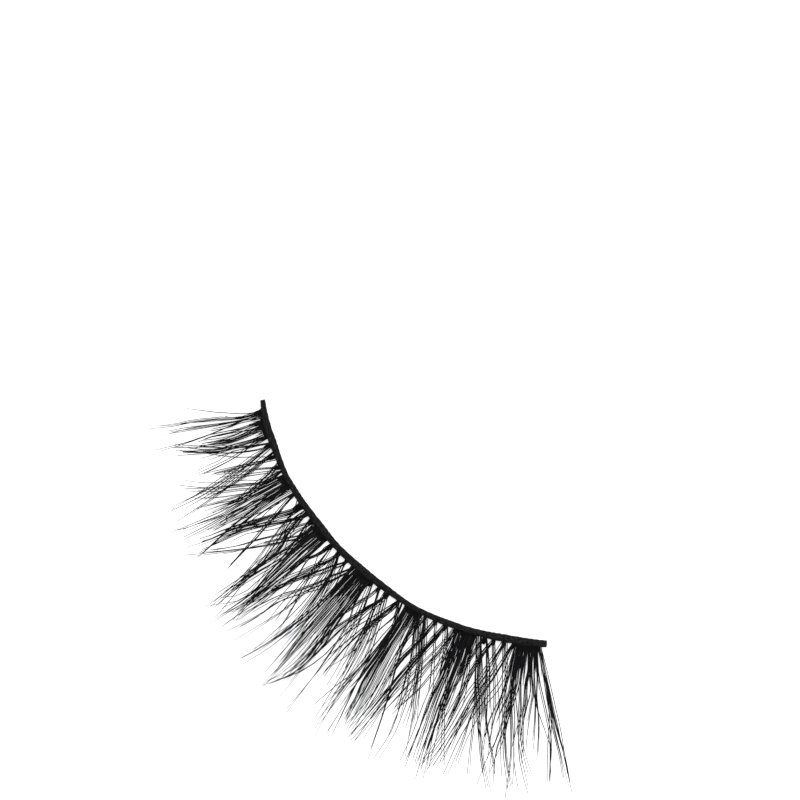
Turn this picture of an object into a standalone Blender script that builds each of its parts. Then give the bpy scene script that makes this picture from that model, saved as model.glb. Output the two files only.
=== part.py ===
"""A false eyelash strip, lying as it is laid on a table: band down, lashes curling up.

A thin cord, bent to the curve of an eyelid, carries three layers of lash locks.
The lower layer leans towards the inner corner of the eye, the upper layer leans
towards the outer corner, and dense straight tufts lie between the two.

Frame: +X runs along the band to the outer corner, +Y points to the eyelid side,
+Z is up, and the origin is the middle of the band's underside.

Places are given in the band's own coordinates: "along" follows the band's eyelid
edge from its inner end, "out" is the distance from that edge towards the lash tips,
and "up" is the height. A "drift" is how far a lock moves along the band for each
unit that it runs out. Metres throughout.
"""

import math
from collections import namedtuple

import bmesh
import bpy

MM = 0.001

# The band: a flattened cord.
BAND_LENGTH = 33.2 * MM  # along the eyelid edge
BAND_RADIUS = 26.0 * MM  # of the eyelid edge, seen from above
BAND_WIDTH = 0.42 * MM
BAND_CHAMFER = 0.09 * MM
BAND_STATION = 0.5 * MM  # spacing of the band's sections
BAND_END_ROUNDING = 0.12 * MM
WAVE_DEPTH = 0.09 * MM  # the cord springs back in shallow waves
WAVE_LENGTH = 15.4 * MM
WAVE_CREST = 6.5 * MM  # place of the first crest along the band

# The locks.
LASH_REACH = 13.0 * MM  # of the longest lock, from the band's eyelid edge
LOCK_THICKNESS = 0.16 * MM  # at the root
LOCK_TIP_SHARE = 0.3  # tip width and thickness as shares of the root's
LOCK_BELLY = 0.62  # width of a lock's flat top as a share of its full width
LOCK_SECTIONS = 7
LAYERS = 3
CLEARANCE = 0.04 * MM  # between any two pieces

# The curl: locks run flat, then rise as a parabola, each layer steeper than the last.
FLAT_RUN = 2.0 * MM
CURL_RADIUS = 20.0 * MM
LAYER_STEEPENING = 0.35

# The crossing locks of the lower and upper layers, knotted to short threads.
THREAD_DEPTH = 0.18 * MM  # across the band
THREAD_END = 0.1 * MM  # past the outermost lock of a group
CROSS_WIDTH = 0.3 * MM
CROSS_DRIFT = 0.38  # at the root
CROSS_STRAIGHTENING = 1.0  # share of that drift that the longest lock has lost at its tip

# The tufts of the middle layer.
TUFT_ROOT_DEPTH = 1.1 * MM  # glued solid this far out from the band
TUFT_LOCK_GAP = 0.04 * MM
TUFT_LOCK_REACH = (0.84, 1.0, 0.9, 0.98, 0.88, 1.0, 0.86)

# One row a tuft, from the inner corner: place and width as shares of BAND_LENGTH,
# reach as a share of LASH_REACH, how much longer its outer side is than its inner
# side, the drift of the whole tuft, and how far it fans open.
Tuft = namedtuple("Tuft", "place width reach slant drift fan")
TUFTS = (
    Tuft(0.054, 0.066, 0.64, -0.30, -0.12, 0.30),
    Tuft(0.208, 0.050, 0.74, -0.10, -0.02, 0.60),
    Tuft(0.360, 0.048, 0.88, 0.00, -0.03, 0.75),
    Tuft(0.507, 0.046, 0.96, 0.00, -0.04, 0.90),
    Tuft(0.658, 0.046, 0.96, 0.00, -0.05, 1.00),
    Tuft(0.805, 0.048, 0.98, 0.00, -0.03, 0.70),
    Tuft(0.952, 0.058, 0.94, 0.08, 0.13, 1.60),
)

# One row a gap between tufts: the places of its four roots as shares of BAND_LENGTH,
# then, for the locks of each crossing layer, their lean as a share of CROSS_DRIFT and
# their reaches as shares of LASH_REACH.
CrossGroup = namedtuple("CrossGroup", "places inward_lean inward outward_lean outward")
CROSS_GROUPS = (
    CrossGroup(
        (0.113, 0.128, 0.146, 0.166), 0.9, (0.50, 0.46, 0.60, 0.66), 0.8, (0.72, 0.76, 0.76, 0.70)
    ),
    CrossGroup(
        (0.248, 0.276, 0.301, 0.323), 1.0, (0.66, 0.76, 0.74, 0.80), 0.6, (0.64, 0.82, 0.88, 0.84)
    ),
    CrossGroup(
        (0.402, 0.429, 0.454, 0.478), 1.2, (0.78, 0.84, 0.80, 0.84), 0.7, (0.70, 0.84, 0.88, 0.88)
    ),
    CrossGroup(
        (0.535, 0.557, 0.585, 0.617), 0.9, (0.80, 0.84, 0.94, 0.84), 0.8, (0.72, 0.70, 0.80, 0.90)
    ),
    CrossGroup(
        (0.693, 0.718, 0.743, 0.771), 1.1, (0.90, 0.92, 0.96, 0.92), 1.1, (0.78, 0.74, 0.88, 0.90)
    ),
    CrossGroup(
        (0.843, 0.868, 0.896, 0.918), 1.0, (0.94, 0.98, 1.00, 0.96), 1.1, (0.92, 0.90, 0.96, 0.94)
    ),
)

# What the values above lead to.
LAYER_PITCH = LOCK_THICKNESS + CLEARANCE
BAND_HEIGHT = LAYERS * LAYER_PITCH - CLEARANCE
THREAD_BACK = BAND_WIDTH + CLEARANCE
THREAD_FRONT = THREAD_BACK + THREAD_DEPTH
TUFT_FRONT = THREAD_BACK + TUFT_ROOT_DEPTH
CURL_START = THREAD_FRONT + FLAT_RUN
LOWER, MIDDLE, UPPER = range(LAYERS)

# A lock: its root's place along the band, that root's width, how far out it reaches,
# its drift at the root, and its straightening, the share of that drift that is lost
# by the full reach.
Lock = namedtuple("Lock", "place width reach drift straightening")


def wave(along):
    """How far the cord stands out from its arc: a cosine along the band."""
    return WAVE_DEPTH * math.cos(2 * math.pi * (along - WAVE_CREST) / WAVE_LENGTH)


def from_band(along, out, up):
    """A point of the band's own coordinates in the object's frame."""
    turn = (along - BAND_LENGTH / 2) / BAND_RADIUS
    radius = BAND_RADIUS + out + wave(along)
    centre = BAND_RADIUS + BAND_WIDTH / 2 + wave(BAND_LENGTH / 2)
    return (radius * math.sin(turn), centre - radius * math.cos(turn), up)


def layer_floor(layer, out):
    """The height of a layer's underside: level at first, then a parabola."""
    run = max(0.0, out - CURL_START)
    steepness = 1 + LAYER_STEEPENING * layer
    return layer * LAYER_PITCH + steepness * run * run / (2 * CURL_RADIUS)


def lock_line(lock, run):
    """The lock's place along the band, this run out from its root: a parabola."""
    mean_drift = lock.drift * (1 - lock.straightening / 2 * run / LASH_REACH)
    return lock.place + mean_drift * run


def join_rings(bm, rings):
    """Quads between each ring of vertices and the next."""
    for ring, following in zip(rings, rings[1:]):
        count = len(ring)
        for i in range(count):
            j = (i + 1) % count
            bm.faces.new((ring[i], ring[j], following[j], following[i]))


def finish(bm, name, material):
    """Turns the mesh into a named object, smooth but for its sharp edges."""
    bmesh.ops.recalc_face_normals(bm, faces=bm.faces)
    mesh = bpy.data.meshes.new(name)
    bm.to_mesh(mesh)
    bm.free()
    mesh.materials.append(material)
    mesh.shade_smooth()
    mesh.set_sharp_from_angle(angle=math.radians(40))
    obj = bpy.data.objects.new(name, mesh)
    bpy.context.scene.collection.objects.link(obj)
    return obj


def make_material(name, colour, roughness):
    """A plain dielectric of one colour and roughness."""
    material = bpy.data.materials.new(name)
    material.use_nodes = True
    shader = material.node_tree.nodes["Principled BSDF"]
    shader.inputs["Base Color"].default_value = (*colour, 1.0)
    shader.inputs["Roughness"].default_value = roughness
    shader.inputs["Metallic"].default_value = 0.0
    return material


def band_section(bm, along, inset):
    """A ring of eight points: the cord's chamfered section, drawn in by inset.

    The underside stays level at every section, so that the whole band rests.
    """
    near, far = inset, BAND_WIDTH - inset
    low, high = inset, BAND_HEIGHT - inset
    cut = BAND_CHAMFER
    outline = (
        (near + cut, 0.0),
        (far - cut, 0.0),
        (far, low + cut),
        (far, high - cut),
        (far - cut, high),
        (near + cut, high),
        (near, high - cut),
        (near, low + cut),
    )
    return [bm.verts.new(from_band(along, out, up)) for out, up in outline]


def build_band(material):
    """The cord: its section carried along the arc, drawn in a little at both ends."""
    bm = bmesh.new()
    steps = max(8, round(BAND_LENGTH / BAND_STATION))
    straight = BAND_LENGTH - 2 * BAND_END_ROUNDING
    stations = [BAND_END_ROUNDING + straight * i / steps for i in range(steps + 1)]
    drawn_in = BAND_END_ROUNDING / 2
    rings = [band_section(bm, 0.0, drawn_in)]
    rings += [band_section(bm, along, 0.0) for along in stations]
    rings.append(band_section(bm, BAND_LENGTH, drawn_in))
    join_rings(bm, rings)
    bm.faces.new(rings[0])
    bm.faces.new(rings[-1])
    return finish(bm, "band", material)


def lock_section(bm, lock, layer, start, share):
    """One of a lock's rings, six points, at this share of the way to its tip."""
    out = start + (lock.reach - start) * share
    taper = 1 - (1 - LOCK_TIP_SHARE) * share
    half = lock.width / 2 * taper
    low = layer_floor(layer, out)
    high = low + LOCK_THICKNESS * taper
    middle = (low + high) / 2
    belly = half * LOCK_BELLY
    centre = lock_line(lock, out - start)
    outline = (
        (-belly, low),
        (belly, low),
        (half, middle),
        (belly, high),
        (-belly, high),
        (-half, middle),
    )
    return [bm.verts.new(from_band(centre + side, out, up)) for side, up in outline]


def build_comb(name, material, layer, front, margin, locks):
    """A row of locks on one backing, whose front face is shared out among them.

    The backing runs from the band out to front, and a margin past its end locks.
    Where a lock leaves, its first ring is the backing's own corners, so that backing
    and locks are one closed body.
    """
    bm = bmesh.new()
    low = layer_floor(layer, 0.0)
    high = low + LOCK_THICKNESS
    middle = (low + high) / 2
    edges = [locks[0].place - locks[0].width / 2 - margin]
    for lock in locks:
        edges += [lock.place - lock.width / 2, lock.place + lock.width / 2]
    edges.append(locks[-1].place + locks[-1].width / 2 + margin)
    back = [[bm.verts.new(from_band(a, THREAD_BACK, z)) for z in (low, high)] for a in edges]
    face = [[bm.verts.new(from_band(a, front, z)) for z in (low, middle, high)] for a in edges]
    for i in range(len(edges) - 1):
        here, there = face[i], face[i + 1]
        bm.faces.new((back[i][0], back[i + 1][0], there[0], here[0]))
        bm.faces.new((back[i][1], here[2], there[2], back[i + 1][1]))
        bm.faces.new((back[i][0], back[i][1], back[i + 1][1], back[i + 1][0]))
        root = (here[0], there[0], there[1], there[2], here[2], here[1])
        if i % 2 == 0:
            bm.faces.new(root)
            continue
        lock = locks[i // 2]
        shares = [n / (LOCK_SECTIONS - 1) for n in range(1, LOCK_SECTIONS)]
        rings = [list(root)]
        rings += [lock_section(bm, lock, layer, front, share) for share in shares]
        join_rings(bm, rings)
        bm.faces.new(rings[-1])
    for i in (0, -1):
        bm.faces.new((back[i][0], face[i][0], face[i][1], face[i][2], back[i][1]))
    return finish(bm, name, material)


def tuft_locks(tuft):
    """The locks of one tuft, side by side at the root and fanning open."""
    count = len(TUFT_LOCK_REACH)
    centre = tuft.place * BAND_LENGTH
    pitch = tuft.width * BAND_LENGTH / count
    locks = []
    for i, share in enumerate(TUFT_LOCK_REACH):
        offset = (i - (count - 1) / 2) * pitch
        drift = tuft.drift + tuft.fan * offset / (LASH_REACH - TUFT_FRONT)
        slant = 1 + tuft.slant * (i / (count - 1) - 0.5)
        reach = share * slant * tuft.reach * LASH_REACH
        locks.append(Lock(centre + offset, pitch - TUFT_LOCK_GAP, reach, drift, 0.0))
    return locks


def cross_locks(places, reaches, lean):
    """The locks of one crossing group, side by side and all leaning one way."""
    drift = lean * CROSS_DRIFT
    return [
        Lock(place * BAND_LENGTH, CROSS_WIDTH, reach * LASH_REACH, drift, CROSS_STRAIGHTENING)
        for place, reach in zip(places, reaches)
    ]


def main():
    for obj in list(bpy.data.objects):
        bpy.data.objects.remove(obj)
    cord = make_material("black_cord", (0.012, 0.012, 0.013), 0.55)
    fibre = make_material("black_lash_fibre", (0.009, 0.009, 0.010), 0.38)
    build_band(cord)
    tuft_end = TUFT_LOCK_GAP / 2
    for number, tuft in enumerate(TUFTS, 1):
        build_comb(f"tuft_{number}", fibre, MIDDLE, TUFT_FRONT, tuft_end, tuft_locks(tuft))
    for number, group in enumerate(CROSS_GROUPS, 1):
        inward = cross_locks(group.places, group.inward, -group.inward_lean)
        outward = cross_locks(group.places, group.outward, group.outward_lean)
        build_comb(f"inward_locks_{number}", fibre, LOWER, THREAD_FRONT, THREAD_END, inward)
        build_comb(f"outward_locks_{number}", fibre, UPPER, THREAD_FRONT, THREAD_END, outward)


main()
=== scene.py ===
import math
from collections import namedtuple

import bpy
import numpy as np
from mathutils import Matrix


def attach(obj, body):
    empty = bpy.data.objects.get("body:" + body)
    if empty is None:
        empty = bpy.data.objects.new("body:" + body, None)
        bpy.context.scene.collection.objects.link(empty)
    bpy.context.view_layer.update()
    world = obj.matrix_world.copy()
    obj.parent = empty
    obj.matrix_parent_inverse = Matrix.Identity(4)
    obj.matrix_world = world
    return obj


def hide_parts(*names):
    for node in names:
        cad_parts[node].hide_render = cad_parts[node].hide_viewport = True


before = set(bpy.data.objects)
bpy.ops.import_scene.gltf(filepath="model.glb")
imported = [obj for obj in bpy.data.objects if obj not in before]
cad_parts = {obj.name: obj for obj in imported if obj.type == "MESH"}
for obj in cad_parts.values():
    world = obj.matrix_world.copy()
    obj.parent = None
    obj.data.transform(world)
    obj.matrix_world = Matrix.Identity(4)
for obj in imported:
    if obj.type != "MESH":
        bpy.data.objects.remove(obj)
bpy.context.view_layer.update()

# A false eyelash strip: single fibres in bundles, the glue at their roots and the corded band.

# Sizes are in millimetres unless they say otherwise. Fibres, glue and the band's edges are
# charted in squares of a twelfth of a millimetre: how far along the band from its inner end,
# and how far out from it towards the tips.
MM = 0.001
SQUARE = 1.0 / 12.0
ALONG_START = 2.5  # squares from the band's inner end to the chart's zero
OUT_START = 1.4  # squares from the chart's zero to the band's arc

# The band, as in the CAD part
BAND_LENGTH = 33.2
BAND_RADIUS = 26.0
BAND_WIDTH = 0.42
BAND_HEIGHT = 0.56
WAVE_DEPTH = 0.09
WAVE_LENGTH = 15.4
WAVE_CREST = 6.5

# The layers of lashes and their curl, as in the CAD part
LOWER, MIDDLE, UPPER = range(3)
LAYER_PITCH = 0.20
CURL_START = 2.64
CURL_RADIUS = 20.0
LAYER_STEEPENING = 0.35
FIRST_LAYER = 0.10  # height of the lower layer's fibres, near the middle of that layer

# One fibre. Its rings are evenly spaced shares of its length.
FIBRE_RADIUS = 0.0374
FIBRE_SIDES = 5
FIBRE_RINGS = 11
RINGS = np.linspace(0.0, 1.0, FIBRE_RINGS)
TAPER_START = 0.72  # share of the length
TIP_SHARE = 0.62  # the tip's radius as a share of the root's
THICKNESSES = (0.85, 1.15)  # shares of FIBRE_RADIUS
LIFT = 0.06  # up or down from the layer
CURLS = (0.85, 1.12)  # shares of the layer's curl

# A bundle of fibres, in squares where it isn't a share
FIBRE_ROOT = 5.0
ROOTED = 13  # a row that starts nearer to the band than this is rooted at it
UNEVEN = 0.42  # most that a fibre leaves its place, as a share of the spacing
PAST_TIP = 1.05  # the longest fibre's share of the row's reach
SHORTEST = 0.87  # a long fibre's least share of the longest
SHORT_SHARE = 0.25  # how many short fibres there are for each long one
SHORT_REACH = (26.0, 54.0)
SPREAD_RUN = 9.0  # over which the spacing opens
TUFT_SLANT = 0.016  # squares along for each square out
LOCK_SLANT = 0.010
TIP_BEND = 1.0
BEND_POWER = 3

# Bundles and strands that start away from the band, in squares where it isn't a share
STACKED = 0.25  # spacing of the fibres where they lie on each other
STRAND_EASE = 10.0  # the line that leads up to a row ends this far before its first point
STRAND_EASE_SHARE = 0.25  # or this share of that point's way out, where that is less
STRAND_OPENING = 1.5  # spacing at the tips as a share of the charted spacing

# The short fibres at a tuft's root
FILL_PLACES = (0.1, 0.9)  # where a fibre stands in its share of the width
FILL_SHORTEST = 0.45  # share of the longest
FILL_SLANT = 0.06

rng = np.random.default_rng(23)


# Places

# How far the centre of the band's arc lies from the origin, which is under the band's middle
ARC_CENTRE = BAND_RADIUS + BAND_WIDTH / 2.0 + WAVE_DEPTH * np.cos(
    2.0 * math.pi * (BAND_LENGTH / 2.0 - WAVE_CREST) / WAVE_LENGTH)


def from_chart(square_along, square_out, up):
    """Points of the part's frame from charted squares and a height. The band's arc is turned by
    the length along it, divided by its radius, and what is out is added to the radius."""
    turn = ((square_along + ALONG_START) * SQUARE - BAND_LENGTH / 2.0) / BAND_RADIUS
    radius = BAND_RADIUS + (square_out - OUT_START) * SQUARE
    across = radius * np.sin(turn)
    back = ARC_CENTRE - radius * np.cos(turn)
    return np.stack(np.broadcast_arrays(across, back, up), axis=-1) * MM


def curl(layer, square_out):
    """Height of a layer: flat to CURL_START, then a parabola, steeper in the upper layers."""
    run = np.maximum(0.0, (square_out - OUT_START) * SQUARE - CURL_START)
    return (1.0 + LAYER_STEEPENING * layer) * run ** 2 / (2.0 * CURL_RADIUS)


def smooth_through(points, at):
    """Curve through charted points: a cubic between neighbours, whose slope at a point is the
    slope between the points on either side of it. Past either end it runs on straight."""
    value, place = np.array(points, dtype=float).T
    slope = np.gradient(value, place)
    first = np.clip(np.searchsorted(place, at) - 1, 0, len(place) - 2)
    gap = place[first + 1] - place[first]
    share = (at - place[first]) / gap
    inside = np.clip(share, 0.0, 1.0)
    start, end = value[first], value[first + 1]
    rise_start, rise_end = slope[first] * gap, slope[first + 1] * gap
    curve = (start * (1.0 + 2.0 * inside) * (1.0 - inside) ** 2
             + rise_start * inside * (1.0 - inside) ** 2
             + end * inside ** 2 * (3.0 - 2.0 * inside)
             - rise_end * inside ** 2 * (1.0 - inside))
    before = np.where(share < 0.0, rise_start * share, 0.0)
    return curve + before + np.where(share > 1.0, rise_end * (share - 1.0), 0.0)


Bundle = namedtuple("Bundle", "count root_spacing middle_spacing tip_spacing points")

# Charts, in squares. Each group of rows belongs to one CAD node. A row is one bundle: how many
# fibres, how far apart they are, and the points (along, out) that its middle passes through.
# Where the spacing changes, it is given at the root, once opened and at the tips.

TUFTS = (
    ((1, 0, ((6.5, 16), (4.5, 27), (2, 36), (0, 43.5), (-2.3, 53), (-4.5, 60), (-6.5, 68), (-8, 74))),
     (3, 1.2, 0.75, 0.8, ((7.5, 9), (8.3, 25), (6.6, 37), (4, 46), (2.7, 57), (1.5, 66), (0.6, 78),
         (0.4, 92), (-1.5, 112))),
     (3, 1, ((9.5, 9), (9.3, 28), (8, 40), (6.3, 50), (5.2, 58), (3.6, 70), (2.4, 80), (1.5, 95))),
     (2, 1, 1, 1.2, ((10.5, 14), (10.3, 32), (9.6, 45), (8.6, 58), (7.5, 70), (6.2, 84), (4.5, 100))),
     (2, 0.9, 0.8, 0.8, ((10, 16), (11.8, 31), (13.3, 46), (14.5, 58), (15.3, 72), (15.8, 84),
         (15.5, 112))),
     (2, 1, 1.2, 1.4, ((13.5, 9), (12.7, 22), (12.2, 31), (13, 38), (12.6, 50), (12, 58))),
     (3, 1, 0.9, 0.9, ((17, 9), (17.4, 20), (18, 32), (17.6, 42), (17, 52), (16.6, 62), (17.2, 72))),
     (3, 1.3, 1.5, 1.5, ((19, 9), (20.3, 22), (22, 35), (22, 48), (21, 58), (19.5, 68))),
     (2, 1.4, 1.8, 1.6, ((23, 9), (21.5, 24), (19.7, 38), (18.5, 50), (18, 56))),
     (4, 1.1, 0.75, 0.9, ((24.5, 8), (25.5, 22), (26.2, 34), (26.2, 45), (25.2, 56), (23.8, 66),
         (22.8, 71))),
     (2, 1.2, 1.4, 1.2, ((22.5, 18), (24, 30), (24.5, 42), (23.5, 52), (22.8, 64), (22.6, 76))),
     (2, 1.5, 1.5, 1.4, ((29.5, 8), (30.5, 20), (30, 30), (29.2, 42), (29, 54), (27.5, 64), (25.5, 72))),
     (3, 1.2, 1.1, 1.2, ((33, 8), (32.8, 22), (32.2, 34), (31.6, 46), (31, 56), (28.5, 68), (26.5, 77),
         (24, 88))),
     (2, 1, 1.2, 1.2, ((35.5, 16), (35, 32), (33.2, 43), (32.3, 54), (31.2, 66), (30.3, 74)))),
    ((3, 1.1, 1.1, 1.2, ((73.8, 8), (74.2, 26), (74.3, 40), (73.3, 52), (71.8, 66), (70, 80), (68, 96))),
     (3, 1, 1.1, 1.2, ((75.8, 8), (76, 28), (76, 42), (75.3, 56), (74, 68), (72, 78), (70.5, 90))),
     (3, 1, ((78, 8), (78, 24), (78.6, 36), (78.4, 50), (78.8, 64), (79.6, 80), (78, 96), (76, 120))),
     (2, 0.9, ((79.8, 8), (79.3, 24), (79.6, 34), (78.3, 46), (77.4, 58), (76.6, 70), (77, 84))),
     (3, 0.9, 1, 1, ((82.4, 8), (82.8, 24), (83, 38), (83.2, 52), (83.2, 66), (83, 80), (83.5, 100),
         (83.5, 119))),
     (2, 1, 1.2, 1, ((81, 18), (80.8, 30), (81, 42), (82.2, 56), (82.5, 70), (82, 84))),
     (3, 1, 0.9, 1, ((84.8, 8), (86, 24), (86.8, 38), (87, 50), (86.6, 64), (86, 78), (85.5, 92))),
     (2, 0.8, 0.8, 0.9, ((81.5, 20), (83.8, 33), (86, 43), (88, 53), (89.5, 66), (91.3, 80), (94, 96),
         (97, 116))),
     (3, 1, ((88, 8), (88.8, 22), (89.5, 33), (90.5, 46), (92, 58), (93.6, 70), (95, 82))),
     (2, 1, 1.2, 1.2, ((87, 14), (87.6, 30), (88.6, 44), (89.6, 58), (88.6, 70), (87.5, 82)))),
    ((3, 1, 0.9, 0.9, ((132.3, 8), (132.4, 24), (133, 38), (132.8, 50), (132.3, 60), (131, 70), (131, 84),
         (131, 105), (131, 133))),
     (2, 0.9, ((134.5, 8), (134.6, 26), (134.6, 38), (133.4, 50), (131.6, 64), (130.2, 78), (130, 98),
         (131.8, 122))),
     (3, 1, 0.9, 0.9, ((136.6, 8), (136.8, 26), (137, 40), (136.7, 54), (135.8, 66), (134.4, 78), (133, 92),
         (131.5, 112), (131, 133))),
     (3, 1, 1.1, 1.1, ((139, 8), (138.8, 26), (138.6, 38), (139.8, 50), (140.8, 62), (142, 76), (143.2, 90),
         (143.5, 105), (139.5, 138))),
     (2, 1, ((141.2, 8), (141.6, 28), (141.8, 42), (142.6, 56), (143.3, 70), (143.8, 90), (142.5, 115),
         (141, 135))),
     (3, 1, 0.9, 0.9, ((143.8, 8), (143.6, 24), (144.2, 40), (144.7, 54), (145, 68), (145.4, 84),
         (146, 100), (147, 117))),
     (3, 1, 0.9, 0.9, ((147.5, 8), (147.8, 24), (147.8, 40), (147.8, 56), (147.6, 70), (147.6, 86),
         (147.3, 97), (145, 128))),
     (2, 1, 0.9, 0.9, ((150, 8), (150.2, 24), (150, 40), (149.8, 54), (149.2, 68), (148.6, 82),
         (145, 104))),
     (2, 1, ((150.5, 18), (150.6, 36), (150.8, 56), (151.4, 74), (152.4, 98), (150.5, 124), (150.5, 138)))),
    ((3, 1, 0.9, 0.9, ((191.3, 8), (190.3, 24), (189.9, 38), (189.6, 50), (188.9, 62), (189.2, 76),
         (190.4, 94), (191.3, 112), (191.5, 140))),
     (2, 1, ((189.5, 10), (188, 28), (187.9, 42), (187.7, 56), (187, 68), (186, 80), (183.5, 104))),
     (3, 1, 0.9, 1, ((193.6, 8), (193.5, 24), (192.9, 38), (192.2, 52), (192, 66), (191.6, 80),
         (192.6, 104), (194, 130))),
     (3, 1, 0.9, 0.9, ((195.6, 8), (195.2, 24), (194.4, 38), (194.9, 52), (194.4, 64), (193.8, 78),
         (192.5, 92), (193, 110))),
     (3, 1, 0.9, 0.9, ((198.6, 8), (198.6, 24), (197.8, 38), (197.6, 52), (197.6, 64), (197.2, 78),
         (197, 110), (196.5, 150))),
     (3, 1, 0.9, 0.9, ((201.4, 8), (200.9, 24), (200.8, 38), (200.8, 52), (200.4, 64), (200.2, 78),
         (201.8, 98), (201, 120), (197.5, 149))),
     (1, 0, ((203, 20), (203, 34), (203, 48), (202.8, 62), (203, 78), (202.5, 100))),
     (4, 1, 0.75, 0.85, ((205.6, 8), (205.7, 24), (205.6, 40), (205.6, 54), (205.8, 66), (206.6, 80),
         (208, 97), (206.5, 120), (199, 143))),
     (3, 1, 0.9, 0.9, ((207.6, 9), (207.8, 26), (207.6, 40), (207.2, 52), (207.8, 66), (208.8, 78),
         (209, 92), (207, 112), (205.5, 148))),
     (2, 1, 1.2, 1.2, ((204, 9), (203.8, 28), (204.8, 44), (204.6, 60), (203.4, 74), (202, 88)))),
    ((4, 1, 0.9, 0.9, ((251.3, 8), (251, 24), (250.2, 38), (249.2, 50), (248.2, 62), (246.6, 74),
         (244.6, 90), (243, 108), (242.3, 124), (240, 148))),
     (3, 0.9, ((252.6, 9), (251.6, 26), (250.9, 42), (250.2, 56), (248.8, 68), (248.2, 82), (249.6, 104),
         (252.6, 149))),
     (4, 0.9, ((254.4, 8), (254, 24), (253.8, 38), (253, 52), (252.4, 64), (251, 76), (249.8, 90),
         (251, 110), (252.3, 135))),
     (5, 0.9, 0.8, 0.85, ((257, 8), (256.8, 24), (256.4, 38), (255.4, 52), (254.4, 64), (253.6, 78),
         (253.6, 92), (254.7, 108), (254.5, 131))),
     (4, 1, 0.8, 0.8, ((259.2, 8), (258.6, 22), (258, 36), (257.2, 50), (257, 64), (256.6, 78), (257, 92),
         (256, 120))),
     (4, 1, 0.75, 0.8, ((262, 8), (261.8, 22), (261.2, 36), (260.6, 50), (260.7, 64), (260.6, 80),
         (261, 102), (260, 138))),
     (3, 1, 0.9, 0.9, ((265, 8), (264.9, 22), (265.6, 38), (265, 52), (264.2, 66), (264.4, 84),
         (263.6, 108), (260, 135))),
     (3, 1, 0.9, 0.9, ((267.4, 9), (266.9, 24), (266.2, 38), (266.6, 50), (268.4, 62), (270.2, 74),
         (272.4, 88), (275, 110), (278, 153))),
     (1, 0, ((262.8, 40), (265, 52), (267, 62), (269.5, 78), (271.5, 92)))),
    ((3, 1, 0.9, 0.9, ((307, 8), (306.4, 24), (306, 38), (305.2, 50), (304.4, 62), (303.2, 74), (302.6, 90),
         (303, 120), (302, 142))),
     (2, 0.9, ((309, 8), (309, 24), (307.4, 38), (306, 50), (305.6, 60), (304.6, 72), (304.4, 86),
         (305, 104))),
     (2, 0.9, ((310, 9), (310.2, 24), (310, 38), (309.8, 50), (309, 64), (308, 78), (307.4, 97),
         (306.8, 146))),
     (3, 1, 0.9, 0.9, ((313.2, 8), (313.6, 24), (313.2, 38), (312.5, 50), (311.8, 62), (311, 76),
         (311.4, 92), (312.2, 112), (313.7, 153))),
     (4, 1, 0.8, 0.85, ((316, 8), (315.6, 22), (316.6, 36), (316.2, 50), (315.4, 62), (314.6, 76),
         (313.8, 90), (314, 108), (312.5, 140))),
     (3, 1, 0.9, 0.9, ((318.4, 8), (317.8, 24), (317.4, 40), (317, 54), (316.6, 68), (316.2, 82),
         (317, 105), (317.5, 140))),
     (3, 1, 0.9, 0.9, ((320.8, 8), (320.8, 24), (320.6, 38), (319.2, 50), (318.4, 62), (317.8, 76),
         (317, 90), (315, 104))),
     (3, 1, 0.9, 0.9, ((323, 8), (322.8, 24), (322.2, 38), (321.4, 50), (320.6, 62), (320, 76), (318.4, 92),
         (316.6, 110))),
     (2, 1, ((326.5, 8), (326, 22), (325.4, 36), (325.5, 50), (326.2, 62), (327.2, 76))),
     (2, 0.9, ((310.4, 40), (312, 52), (313.8, 62), (315.6, 73), (317.6, 84), (322, 104), (328, 134)))),
    ((2, 1, ((365.5, 8), (364.2, 24), (364.2, 36), (362.8, 48), (361.8, 58), (360.6, 70), (359.4, 82),
         (359.5, 105), (360, 118))),
     (2, 1, 0.9, 0.9, ((367, 8), (366, 24), (366, 38), (366.8, 50), (365.6, 62), (363.4, 72), (361.4, 84))),
     (3, 1, 0.9, 0.9, ((369, 8), (368, 22), (367.6, 36), (368.3, 50), (369.6, 62), (371.4, 74), (373.2, 86),
         (376.5, 110), (378, 157))),
     (2, 1, ((371.5, 8), (369.8, 24), (370.2, 38), (369.6, 50), (369.8, 62), (368.6, 76), (367.4, 95),
         (370.5, 120), (375.5, 143))),
     (3, 1, 0.85, 0.85, ((372.5, 8), (372.6, 24), (373.2, 38), (373.2, 50), (371.4, 60), (369.8, 70),
         (368, 82), (365.6, 98), (363, 118), (364, 133))),
     (3, 1, 0.8, 0.8, ((375.5, 8), (375.6, 22), (374.6, 36), (374.6, 48), (376, 58), (377, 68), (377.2, 80),
         (379.5, 100), (388.5, 140))),
     (3, 1, 0.9, 0.9, ((378.5, 8), (380, 22), (381, 32), (379.6, 44), (379.8, 54), (380.8, 64), (379.6, 76),
         (378, 90), (377, 105))),
     (3, 1, 0.9, 0.9, ((382, 8), (382.2, 24), (382.6, 36), (384.3, 46), (384.8, 56), (383.4, 66),
         (382.2, 76), (380.6, 88))),
     (2, 1, 0.8, 0.8, ((384.5, 9), (385.2, 24), (386, 36), (387, 46), (388.4, 56), (389, 68), (389.2, 84),
         (388.6, 104))),
     (1, 0, ((383.5, 20), (385.6, 38), (387.5, 48), (389.8, 58.5), (392.5, 67), (395.8, 76), (400, 87),
         (406, 104))),
     (2, 0.7, 0.6, 0.8, ((386, 12), (387.8, 26), (389.3, 38), (389.6, 50), (390.4, 62), (392.4, 74),
         (393.5, 90), (393.7, 114))),
     (3, 0.8, 0.55, 0.7, ((387, 12), (389, 28), (391.8, 43), (394.8, 53), (397, 62), (399.2, 71), (402, 83),
         (404.3, 98), (405, 115), (404.7, 138))),
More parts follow.
